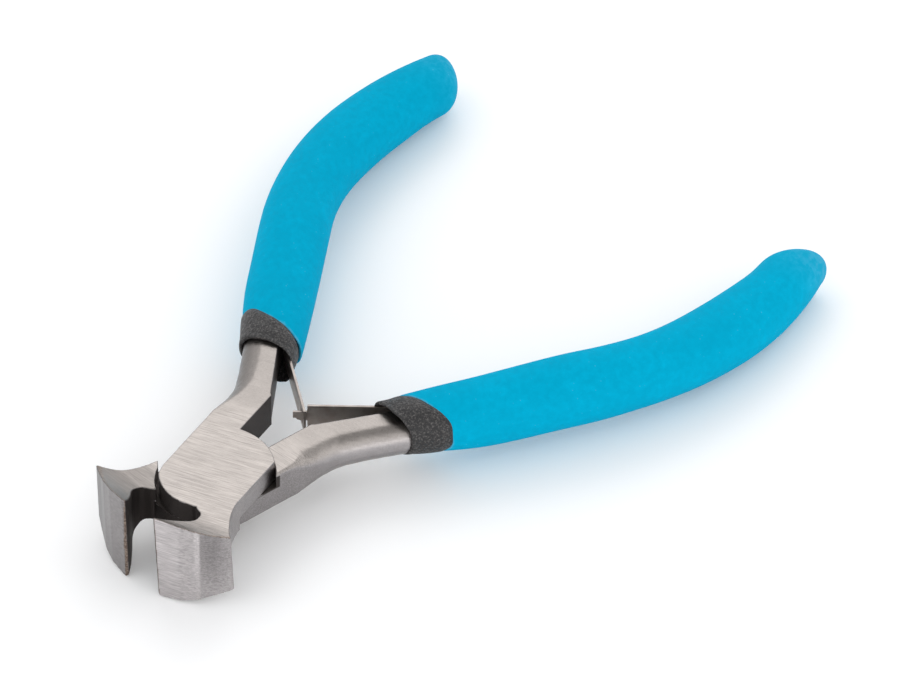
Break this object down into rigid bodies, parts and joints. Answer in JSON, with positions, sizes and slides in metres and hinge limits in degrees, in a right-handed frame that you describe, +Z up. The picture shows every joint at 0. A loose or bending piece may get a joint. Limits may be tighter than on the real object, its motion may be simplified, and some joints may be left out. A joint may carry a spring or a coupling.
{
  "type": "end cutting pliers",
  "caption": "Small end-cutting pliers with lapped steel halves on a rivet, hooked leaf springs and two-layer cushion grips.",
  "frame": {"origin": "on the pivot axis, in the plane where the two lap plates meet", "axes": "+X towards the cutting edges, +Z up along the pivot axis, +Y to the side of the upper half's jaw"},
  "size_m": [0.1148, 0.085, 0.0154],
  "materials": {
    "upper_steel": "surface-ground and belt-polished tool steel",
    "lower_steel": "surface-ground and belt-polished tool steel",
    "rivet_steel": "ground flush with the joint",
    "spring_steel": "bright rolled spring strip",
    "spring_rivet": "plain steel rivet",
    "sleeve": "black textured rubber",
    "grip": "matte blue cushion grip"
  },
  "bodies": {
    "upper_handle": {"upper_half": "upper_steel", "pivot_rivet": "rivet_steel", "slotted_spring_rivet": "spring_rivet", "upper_sleeve": "sleeve", "upper_grip": "grip"},
    "lower_handle": {"lower_half": "lower_steel", "tongue_spring_rivet": "spring_rivet", "lower_sleeve": "sleeve", "lower_grip": "grip"},
    "slotted_leaf": {"slotted_leaf_spring": "spring_steel"},
    "tongue_leaf": {"tongue_leaf_spring": "spring_steel"}
  },
  "joints": [
    {"name": "jaw_pivot", "type": "hinge", "parent": "upper_handle", "child": "lower_handle", "pos_m": [0, 0, 0], "axis": [0, 0, 1], "range_deg": [0, 19.8], "stiffness_Nm_per_rad": 0.8},
    {"name": "slotted_leaf_bend", "type": "hinge", "parent": "upper_handle", "child": "slotted_leaf", "pos_m": [-0.02731, -0.00835, 0], "axis": [0, 0, 1], "range_deg": [-22, 0], "deforming": ["slotted_leaf_spring"]},
    {"name": "tongue_leaf_bend", "type": "hinge", "parent": "lower_handle", "child": "tongue_leaf", "pos_m": [-0.02731, 0.00835, 0], "axis": [0, 0, 1], "range_deg": [0, 22], "deforming": ["tongue_leaf_spring"]}
  ],
  "couplings": [
    {"joint": "slotted_leaf_bend", "follows": "jaw_pivot", "ratio": -1.11},
    {"joint": "tongue_leaf_bend", "follows": "jaw_pivot", "ratio": 1.11}
  ]
}
